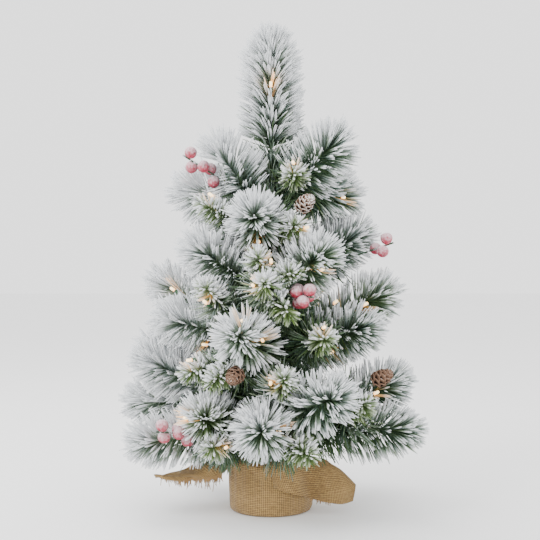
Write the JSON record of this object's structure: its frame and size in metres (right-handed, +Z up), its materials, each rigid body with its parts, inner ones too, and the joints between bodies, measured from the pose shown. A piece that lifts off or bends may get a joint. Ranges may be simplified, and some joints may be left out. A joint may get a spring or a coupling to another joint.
{
  "type": "artificial tabletop tree",
  "caption": "Snow-flocked tabletop tree with long-needle branches on friction hinges, warm lamps, frosted berries and pinecones, on a round burlap-wrapped base.",
  "frame": {"origin": "on the table under the middle of the base", "axes": "+Z up along the trunk, the tree's front towards -Y, +X to the right seen from the front"},
  "size_m": [0.3491, 0.3436, 0.596],
  "materials": {
    "burlap": "open plain-weave jute burlap, tan",
    "twine": "twisted jute twine",
    "pot_plastic": "moulded dark brown plastic",
    "cement": "cast cement",
    "case_plastic": "moulded black plastic, fine texture",
    "cell_jacket": "plain printed-free cell jacket",
    "contact_metal": "plated spring steel",
    "trunk_tape": "steel tube wrapped in dark green tape",
    "bracket_steel": "dark green enamelled steel",
    "stem_wire": "twisted steel wire, green tape, dusted with flock",
    "lead_wire": "green insulated wire",
    "needles": "soft blue-green needles, heavily flocked white at the ends",
    "lamps": "clear lens, warm white light",
    "berries": "red lacquer under white sugar frost",
    "pinecones": "dry brown scales tipped with flock"
  },
  "bodies": {
    "base": {"pot_shell": "pot_plastic", "cement_fill": "cement", "burlap_wrap": "burlap", "neck_twine": "twine", "battery_case": "case_plastic", "battery_cells": "cell_jacket", "battery_contacts": "contact_metal", "trunk_tube": "trunk_tape", "trunk_harness": "lead_wire", "branch_brackets": "bracket_steel"},
    "battery_door": {"battery_door": "case_plastic"},
    "switch_knob": {"switch_knob": "case_plastic"},
    "low_left": {"low_left_berries": "berries", "low_left_lights": "lamps", "low_left_stem": "stem_wire", "low_left_tips": "needles"},
    "low_front": {"low_front_lights": "lamps", "low_front_stem": "stem_wire", "low_front_tips": "needles"},
    "low_right": {"low_right_lights": "lamps", "low_right_pinecone": "pinecones", "low_right_stem": "stem_wire", "low_right_tips": "needles"},
    "low_back": {"low_back_stem": "stem_wire", "low_back_tips": "needles"},
    "left": {"left_stem": "stem_wire", "left_tips": "needles"},
    "front": {"front_lights": "lamps", "front_pinecone": "pinecones", "front_stem": "stem_wire", "front_tips": "needles"},
    "right": {"right_lights": "lamps", "right_stem": "stem_wire", "right_tips": "needles"},
    "mid_left": {"mid_left_lights": "lamps", "mid_left_stem": "stem_wire", "mid_left_tips": "needles"},
    "mid_back": {"mid_back_lights": "lamps", "mid_back_stem": "stem_wire", "mid_back_tips": "needles"},
    "upper_front": {"upper_front_berries": "berries", "upper_front_lights": "lamps", "upper_front_stem": "stem_wire", "upper_front_tips": "needles"},
    "upper_back": {"upper_back_berries": "berries", "upper_back_stem": "stem_wire", "upper_back_tips": "needles"},
    "top_front": {"top_front_lights": "lamps", "top_front_pinecone": "pinecones", "top_front_stem": "stem_wire", "top_front_tips": "needles"},
    "top_left": {"top_left_berries": "berries", "top_left_stem": "stem_wire", "top_left_tips": "needles"},
    "top_right": {"top_right_lights": "lamps", "top_right_stem": "stem_wire", "top_right_tips": "needles"},
    "leader": {"leader_lights": "lamps", "leader_stem": "stem_wire", "leader_tips": "needles"}
  },
  "joints": [
    {"name": "low_left_bend", "type": "hinge", "parent": "base", "child": "low_left", "pos_m": [-0.01175, -0.00428, 0.094], "axis": [-0.342, 0.9397, 0], "range_deg": [-8, 14]},
    {"name": "low_front_bend", "type": "hinge", "parent": "base", "child": "low_front", "pos_m": [-0.00087, -0.01247, 0.108], "axis": [-0.9976, 0.0698, 0], "range_deg": [-8, 15]},
    {"name": "low_right_bend", "type": "hinge", "parent": "base", "child": "low_right", "pos_m": [0.01202, -0.00345, 0.101], "axis": [-0.2756, -0.9613, 0], "range_deg": [-8, 12]},
    {"name": "low_back_bend", "type": "hinge", "parent": "base", "child": "low_back", "pos_m": [0.00044, 0.01249, 0.115], "axis": [0.9994, -0.0349, 0], "range_deg": [-8, 18]},
    {"name": "left_bend", "type": "hinge", "parent": "base", "child": "left", "pos_m": [-0.01223, 0.0026, 0.128], "axis": [0.2079, 0.9781, 0], "range_deg": [-12, 10]},
    {"name": "front_bend", "type": "hinge", "parent": "base", "child": "front", "pos_m": [-0.00302, -0.01213, 0.192], "axis": [-0.9703, 0.2419, 0], "range_deg": [-12, 15]},
    {"name": "right_bend", "type": "hinge", "parent": "base", "child": "right", "pos_m": [0.01114, -0.00568, 0.2], "axis": [-0.454, -0.891, 0], "range_deg": [-15, 14]},
    {"name": "mid_left_bend", "type": "hinge", "parent": "base", "child": "mid_left", "pos_m": [-0.01133, -0.00528, 0.208], "axis": [-0.4226, 0.9063, 0], "range_deg": [-15, 12]},
    {"name": "mid_back_bend", "type": "hinge", "parent": "base", "child": "mid_back", "pos_m": [0.00087, 0.01247, 0.184], "axis": [0.9976, -0.0698, 0], "range_deg": [-15, 14]},
    {"name": "upper_front_bend", "type": "hinge", "parent": "base", "child": "upper_front", "pos_m": [-0.00065, -0.01248, 0.262], "axis": [-0.9986, 0.0523, 0], "range_deg": [-12, 12]},
    {"name": "upper_back_bend", "type": "hinge", "parent": "base", "child": "upper_back", "pos_m": [0.00428, 0.01175, 0.276], "axis": [0.9397, -0.342, 0], "range_deg": [-14, 25]},
    {"name": "top_front_bend", "type": "hinge", "parent": "base", "child": "top_front", "pos_m": [-0.0026, -0.01223, 0.33], "axis": [-0.9781, 0.2079, 0], "range_deg": [-14, 18]},
    {"name": "top_left_bend", "type": "hinge", "parent": "base", "child": "top_left", "pos_m": [-0.01036, -0.00699, 0.372], "axis": [-0.5592, 0.829, 0], "range_deg": [-20, 25]},
    {"name": "top_right_bend", "type": "hinge", "parent": "base", "child": "top_right", "pos_m": [0.01124, -0.00548, 0.384], "axis": [-0.4384, -0.8988, 0], "range_deg": [-20, 25]},
    {"name": "leader_bend", "type": "hinge", "parent": "base", "child": "leader", "pos_m": [0, 0, 0.445], "axis": [1, 0, 0], "range_deg": [-25, 25]},
    {"name": "battery_door_hinge", "type": "hinge", "parent": "base", "child": "battery_door", "pos_m": [0, 0.0303, 0.0029], "axis": [1, 0, 0], "range_deg": [0, 90]},
    {"name": "switch_slide", "type": "slide", "parent": "base", "child": "switch_knob", "axis": [0, 1, 0], "range_m": [0, 0.004]}
  ]
}
